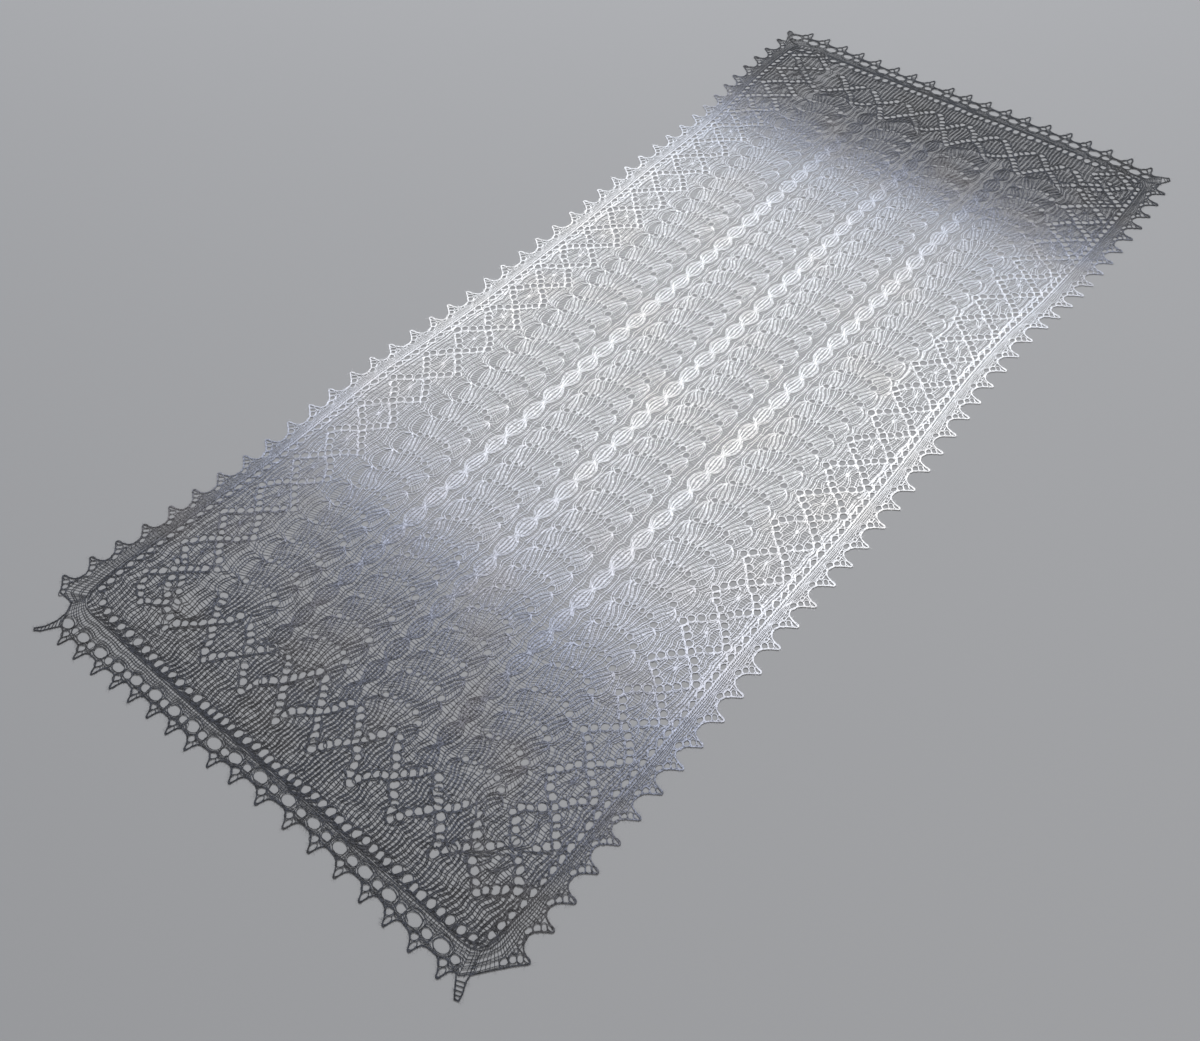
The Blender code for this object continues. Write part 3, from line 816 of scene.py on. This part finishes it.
def edge_line(side):
    """The strip's outline as one line (along, across), without the curls at its corners."""
    ends = {
        "near": ([VALLEY_NL, TAIL_NL[0], TAIL_NL[-1]], [LOOP_NR[0], VALLEY_NR]),
        "right": ([VALLEY_NR] + SLOPE_NR, [VALLEY_FR]),
        "far": ([VALLEY_FL, HOOK_FL[0]], [HOOK_FR[-1], VALLEY_FR]),
        "left": ([VALLEY_NL], [VALLEY_FL]),
    }
    first, last = ends[side]
    teeth = toothed(side)
    run = np.array(first + (teeth[3:-1] if side == "right" else teeth) + last)
    run = turned(run, side)
    run[:, 0] = np.maximum.accumulate(run[:, 0]) + 1e-6 * np.arange(len(run))
    return run


def tooth_place(side, x):
    """Place along the strip of tooth number x, which may lie between teeth or past the last."""
    places, pitches = TEETH[side]
    last = len(places) - 1
    return np.interp(x, np.arange(last + 1), places) \
        + np.minimum(x, 0.0) * pitches[0] + np.maximum(x - last, 0.0) * pitches[-1]


def edging_holes(side):
    """Centre (along, across), half length, half width and turn of each hole of a strip."""
    holes = []
    for i, (place_of, pitch) in enumerate(zip(*TEETH[side])):
        for k, (back, deep, long, wide, turn) in enumerate(TOOTH_HOLES[kind_of(side)]):
            scale = 1.0 + 0.1 * uneven(i, 4.0 + 1.3 * k)
            along = place_of + back * pitch
            across = float(curve(TIPS[side], along)) + INWARD[side] * deep
            holes.append((along, across, long * scale, wide * scale, -INWARD[side] * turn))
    return holes


def nearness(points, hole):
    """Distance of points from a hole's centre, 1 on its rim."""
    along, across, long, wide, turn = hole
    x, y = points[..., 0] - along, points[..., 1] - across
    c, s = math.cos(turn), math.sin(turn)
    return np.hypot((x * c + y * s) / long, (y * c - x * s) / wide)


def mitre_rows(row, following):
    """Rows that fill the gap between two rows whose outer ends are far apart."""
    count = int(np.linalg.norm(row[-1] - following[-1]) / MITRE_STEP)
    t = (np.arange(count) + 1.0) / (count + 1.0)
    return row + (following - row) * t[:, None, None]


def edging_grid(side):
    """Stitches of a strip as a grid (row, column) of points (along, across), seam first."""
    places, pitches = TEETH[side]
    kind = kind_of(side)
    edge = edge_line(side)
    start, end = edge[0, 0], edge[-1, 0]
    last = len(places) - 1
    from_x = (start - places[0]) / pitches[0]
    to_x = last + (end - places[-1]) / pitches[-1]
    x = np.linspace(from_x, to_x, int(round((to_x - from_x) * TOOTH_ROWS[kind])) + 1)
    tooth = np.clip(np.round(x), 0, last)
    base = tooth_place(side, x)
    out = tooth_place(side, tooth + np.interp(x - tooth, ROW_BASE, ROW_EDGE))
    seam = turned(np.array(SIDES[side]), side)
    seam = seam[np.argsort(seam[:, 0])]
    near, far = start + SEAM_CORNER, end - SEAM_CORNER
    at_seam = np.interp(base, [start, near, far, end], [seam[0, 0], near, far, seam[-1, 0]])
    inward = INWARD[side]
    seam_line = np.interp(at_seam, seam[:, 0], seam[:, 1])
    edge_here = np.interp(base, edge[:, 0], edge[:, 1])
    deep = inward * (seam_line - edge_here)
    notch = inward * (curve(TIPS[side], base) + inward * HIGH[kind] - edge_here)
    notch = edge_here + inward * np.clip(notch, *(limit * deep for limit in NOTCH_LIMITS))
    edge_out = np.interp(out, edge[:, 0], edge[:, 1]) + inward * TOOTH_INSET
    steps = INTERVALS[kind]
    columns = []
    for j in range(steps + 1):
        t = j / steps
        columns.append(np.stack([at_seam + (base - at_seam) * t,
                                 seam_line + (notch - seam_line) * t], -1))
    for j in range(1, TOOTH_STITCHES + 1):
        t = j / TOOTH_STITCHES
        columns.append(np.stack([base + (out - base) * t, notch + (edge_out - notch) * t], -1))
    grid = np.stack(columns, 1)
    grid[:, 0, 1] -= inward * SEAM_APART / NOMINAL
    grid = np.concatenate([grid[:1], mitre_rows(grid[0], grid[1]), grid[1:-1],
                           mitre_rows(grid[-2], grid[-1]), grid[-1:]])
    holes = edging_holes(side)
    for hole in holes:
        f = nearness(grid, hole)
        centre = np.array(hole[:2])
        grow = np.where(f < HOLE_REACH, (1.12 + 0.3 * f) / np.maximum(f, 0.2), 1.0)
        grow[:, 0] = grow[:, -1] = 1.0
        grid = centre + (grid - centre) * grow[..., None]
    return grid, holes


def draw_grid(wool, grid, holes, side, wales):
    """Wales along a strip and the yarn between them, and in the teeth single strands."""
    def lay(path, size, top):
        middle = path.mean(-2)
        inside = np.zeros(middle.shape[:-1], bool)
        for hole in holes:
            inside |= nearness(middle, hole) < CLEAR
        path = path[~inside]
        vary = 1.0 + 0.14 * rng.normal(0.0, 1.0, (len(path), 1)).clip(-2, 2)
        wool.strands(metres(turned(path, side)), size * vary, ROOF * size, top)

    across = np.gradient(grid, axis=1)
    wide = np.linalg.norm(across, axis=-1, keepdims=True)
    across = across / np.maximum(wide, 1e-9) * np.clip(0.26 * wide, 0.0006, 0.0022)
    inner = slice(1, wales)
    for way in (-1, 1):
        lay(np.stack([grid[:-1, inner] + way * 0.85 * across[:-1, inner],
                      grid[1:, inner] + way * 1.05 * across[1:, inner]], -2), 0.85 * YARN, LEG_TOP)
    lay(np.stack([grid[:, :wales], grid[:, 1:wales + 1]], -2)[:, :wales - 1], 0.62 * YARN, RUNG_TOP)
    lay(np.stack([grid[::2, wales - 1:-1], grid[::2, wales:]], -2), 0.95 * YARN, LEG_TOP)


def draw_rims(wool, holes, side):
    """A ring of yarn round each hole."""
    for along, across, long, wide, lean in holes:
        ring = np.array([along, across]) + oval(long + RIM_APART, wide + RIM_APART, lean, 13)
        wool.strands(metres(turned(ring, side))[None], 0.95 * YARN, ROOF * YARN, RING_TOP)


def even_path(points, step):
    """A line in metres with its corners rounded, at even steps."""
    def spaced(line, apart):
        run = lengths(line)
        return points_at(line, run, np.linspace(0.0, run[-1], max(int(round(run[-1] / apart)), 2) + 1))

    fine = spaced(metres(points), PATH_STEP)
    reach = int(round(PATH_SOFT / PATH_STEP / 2))
    padded = np.concatenate([np.repeat(fine[:1], reach, 0), fine, np.repeat(fine[-1:], reach, 0)])
    window = np.full(2 * reach + 1, 1 / (2 * reach + 1))
    soft = np.stack([np.convolve(padded[:, k], window, "valid") for k in (0, 1)], -1)
    return spaced(soft, step)


def chain(wool, path, inset, wide=BOUND_WIDE, thick=1.05 * YARN):
    """A chain of stitches laid along a path, set in to the left of it."""
    ahead = np.gradient(path, axis=0)
    step = np.linalg.norm(ahead, axis=-1, keepdims=True)
    ahead = ahead / step
    left = np.stack([-ahead[:, 1], ahead[:, 0]], -1)
    middle = path + left * inset
    for side in (-1, 1):
        foot = middle + left * side * 0.5 * (wide - thick) - ahead * 0.45 * step
        knee = middle + left * side * (0.42 * wide - 0.5 * thick) + ahead * 0.15 * step
        head = middle + left * side * 0.06 * wide + ahead * 0.75 * step
        wool.strands(np.stack([foot, knee, head], 1), thick * np.array([1.0, 1.1, 0.8]),
                     0.6 * thick, LEG_TOP + np.array([-0.0002, 0.0002, -0.0002]))
    return middle


# the curls at the corners, each as the two long sides of a narrow strip
CURLS = {
    "near": [(TAIL_NL[:4], TAIL_NL[:3:-1]), (LOOP_NR[:3], LOOP_NR[:2:-1])],
    "far": [(HOOK_FR[:2], HOOK_FR[:1:-1]), (HOOK_FL[:3], HOOK_FL[:2:-1])],
}


def make_edging(side, material):
    """One strip of the edging with its bound-off edge, its curls and its chain at the seam."""
    wool = Wool()
    grid, holes = edging_grid(side)
    draw_grid(wool, grid, holes, side, INTERVALS[kind_of(side)] + 1)
    draw_rims(wool, holes, side)
    edge = chain(wool, even_path(CONTOURS[side], BOUND_STEP), BOUND_WIDE / 2)
    wool.nap(edge[rng.integers(0, len(edge), EDGE_FIBRES)], 0.003, 0.0075)
    for one, other in CURLS.get(side, []):
        pair = [even_path(line, CURL_STEP) for line in (one, other)]
        share = np.linspace(0, 1, max(len(line) for line in pair))
        pair = [points_at(line, np.linspace(0, 1, len(line)), share) for line in pair]
        wool.strands(np.stack(pair, 1), YARN, 0.6 * YARN, LEG_TOP)
    seam = even_path(SIDES[side], BOUND_STEP)
    outer = chain(wool, seam, -SEAM_APART, SEAM_WIDE, SEAM_YARN)
    if kind_of(side) == "side":
        inner = outer + (seam - outer) * 2.0
        wool.strands(np.stack([outer[:-1], inner[1:]], 1), 0.7 * YARN, 0.5 * YARN,
                     LEG_TOP + 0.0002)
    return wool.piece(f"edging_{side}_stitches", material)


def make_selvedge(material):
    """The chain along each long edge of the body, on its side of the seam."""
    wool = Wool()
    for side in ("right", "left"):
        chain(wool, even_path(SIDES[side], BOUND_STEP), SEAM_APART, SEAM_WIDE, SEAM_YARN)
    return wool.piece("lace_body_selvedge", material)


# ---- materials
# colour of the yarn along the shawl: (v, red, green and blue in thousandths)
GRADIENT = [(-0.05, (18, 20, 28)), (0.1, (34, 37, 48)), (0.2, (60, 65, 84)), (0.3, (110, 116, 147)),
    (0.4, (185, 197, 246)), (0.5, (340, 362, 445)), (0.6, (600, 615, 690)), (0.8, (800, 805, 840)),
    (1.0, (870, 870, 885)), (1.4, (860, 865, 885)), (1.6, (810, 820, 855)), (1.8, (590, 615, 685)),
    (1.9, (290, 308, 374)), (1.97, (126, 133, 164)), (2.05, (44, 47, 61)), (2.15, (22, 25, 33)),
    (2.29, (18, 21, 28))]
STREAKS, STREAK_REACH = (2.0, 60.0, 1.0), 0.05  # scale, and m that they move the colour by
BROWN = (1.14, 1.0, 0.82, 1)


def add_node(tree, kind, inputs, **settings):
    """Adds a node; an input is set to a value or linked to an output."""
    node = tree.nodes.new(kind)
    for name, value in settings.items():
        setattr(node, name, value)
    for name, value in inputs.items():
        if isinstance(value, bpy.types.NodeSocket):
            tree.links.new(value, node.inputs[name])
        else:
            node.inputs[name].default_value = value
    return node


def noise(tree, place, scale, detail):
    inputs = {"Vector": place, "Scale": scale, "Detail": detail}
    return add_node(tree, "ShaderNodeTexNoise", inputs).outputs["Fac"]


def remap(tree, value, low, high, to_low=0.0, to_high=1.0):
    inputs = {"Value": value, "From Min": low, "From Max": high, "To Min": to_low, "To Max": to_high}
    return add_node(tree, "ShaderNodeMapRange", inputs).outputs[0]


def calculate(tree, operation, *terms):
    return add_node(tree, "ShaderNodeMath", dict(enumerate(terms)), operation=operation).outputs[0]


def colour_run(tree, place):
    """The colour along the shawl, in streaks across it."""
    y = add_node(tree, "ShaderNodeSeparateXYZ", {0: place}).outputs["Y"]
    streaks = add_node(tree, "ShaderNodeMapping", {0: place, "Scale": STREAKS}).outputs[0]
    moved = calculate(tree, "MULTIPLY_ADD", noise(tree, streaks, 1.0, 3.0), STREAK_REACH, y)
    first, last = GRADIENT[0][0], GRADIENT[-1][0]
    low, high = (metres([0, v])[1] + STREAK_REACH / 2 for v in (first, last))
    run = add_node(tree, "ShaderNodeValToRGB", {"Fac": remap(tree, moved, low, high)})
    stops = run.color_ramp.elements
    for v, _ in GRADIENT[1:-1]:
        stops.new((v - first) / (last - first))
    for stop, (_, colour) in zip(stops, GRADIENT):
        stop.color = (*(part / 1000 for part in colour), 1)
    return run.outputs["Color"]


def wool_material(name):
    """Matt wool that runs from charcoal over grey to white and back along the shawl, with painted glints
    in its colour.
    """
    material = bpy.data.materials.new(name)
    material.use_nodes = True
    tree = material.node_tree
    place = add_node(tree, "ShaderNodeTexCoord", {}).outputs["Object"]
    run = colour_run(tree, place)
    bright = add_node(tree, "ShaderNodeRGBToBW", {0: run}).outputs[0]
    dark = remap(tree, bright, 0.0, 0.6, 1.0, 0.16)
    # a brown cast in patches, where the yarn is dark
    patches = remap(tree, noise(tree, place, 9.0, 3.0), 0.48, 0.66)
    cast = {"Factor": calculate(tree, "MULTIPLY", patches, dark), "A": run, "B": BROWN}
    tinted = add_node(tree, "ShaderNodeMix", cast, data_type="RGBA", blend_type="MULTIPLY")
    # painted highlights: glints along the yarn lighten and darken its colour, most where it is dark: 1 +
    # glint strength * (-1 to 1)
    glint_strength = calculate(tree, "MULTIPLY_ADD", dark, 0.72, 0.06)
    glint = remap(tree, noise(tree, place, 420.0, 2.0), 0.34, 0.66, -1.0, 1.0)
    glint_scale = calculate(tree, "MULTIPLY_ADD", glint, glint_strength, 1.0)
    glinted = {0: tinted.outputs["Result"], "Scale": glint_scale}
    colour = add_node(tree, "ShaderNodeVectorMath", glinted, operation="SCALE").outputs[0]
    fibres = {"Strength": 0.5, "Distance": 0.0003, "Height": noise(tree, place, 900.0, 4.0)}
    shader = tree.nodes["Principled BSDF"].inputs
    tree.links.new(colour, shader["Base Color"])
    tree.links.new(add_node(tree, "ShaderNodeBump", fibres).outputs[0], shader["Normal"])
    shader["Roughness"].default_value = 0.85
    shader["Sheen Weight"].default_value = 0.1
    shader["Sheen Roughness"].default_value = 0.5
    return material


def floor_material():
    material = bpy.data.materials.new("pale_floor")
    material.use_nodes = True
    shader = material.node_tree.nodes["Principled BSDF"].inputs
    shader["Base Color"].default_value = (0.27, 0.27, 0.275, 1)
    shader["Roughness"].default_value = 0.9
    shader["Specular IOR Level"].default_value = 0.1
    return material


# ---- stage, light and camera
def make_floor():
    mesh = bpy.data.meshes.new("floor")
    far = 6.0
    mesh.from_pydata([(-far, -far, 0), (far, -far, 0), (far, far, 0), (-far, far, 0)], [],
                     [(0, 1, 2, 3)])
    mesh.materials.append(floor_material())
    into_scene("floor", mesh)


def make_camera():
    camera = bpy.data.cameras.new("camera")
    camera.lens = 35.04
    camera.sensor_width = 36.0
    camera.sensor_fit = "HORIZONTAL"
    right, up, back = (0.7602, 0.6473, -0.0555), (-0.4954, 0.6328, 0.5951), (0.4204, -0.4249, 0.8018)
    matrix = Matrix((right, up, back)).transposed().to_4x4()
    matrix.translation = Vector((0.7367, -0.9175, 1.229))
    holder = into_scene("camera", camera)
    holder.matrix_world = matrix
    bpy.context.scene.camera = holder


def area_light(name, place, size, power, colour):
    data = bpy.data.lights.new(name, "AREA")
    data.energy, data.size, data.color = power, size, colour
    lamp = into_scene(name, data)
    lamp.location = place
    lamp.rotation_euler = (-Vector(place)).to_track_quat("-Z", "Y").to_euler()


def make_light():
    world = bpy.data.worlds.new("world")
    world.use_nodes = True
    background = world.node_tree.nodes["Background"].inputs
    background["Color"].default_value = (0.95, 0.97, 1.0, 1)
    background["Strength"].default_value = 0.42
    bpy.context.scene.world = world
    area_light("key", (-3.4, 5.0, 5.6), 2.6, 880.0, (0.95, 0.97, 1.0))
    area_light("fill", (1.8, -0.6, 2.0), 2.0, 14.0, (1.0, 0.97, 0.92))
    bpy.context.scene.view_settings.view_transform = "Standard"


def declare(piece, node):
    """Attaches a piece of the lace to the root, and hides the part of model.glb that it stands for."""
    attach(piece, "root")
    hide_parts(node)


make_camera()
make_floor()
make_light()
wool = wool_material("wool")
selvedge = make_selvedge(wool)
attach(selvedge, "root")
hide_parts("lace_body")
for piece, length in zip(*make_body(wool)):
    declare(piece, "lace_body")
for side in TEETH:
    piece = make_edging(side, wool)
    declare(piece, f"edging_{side}")
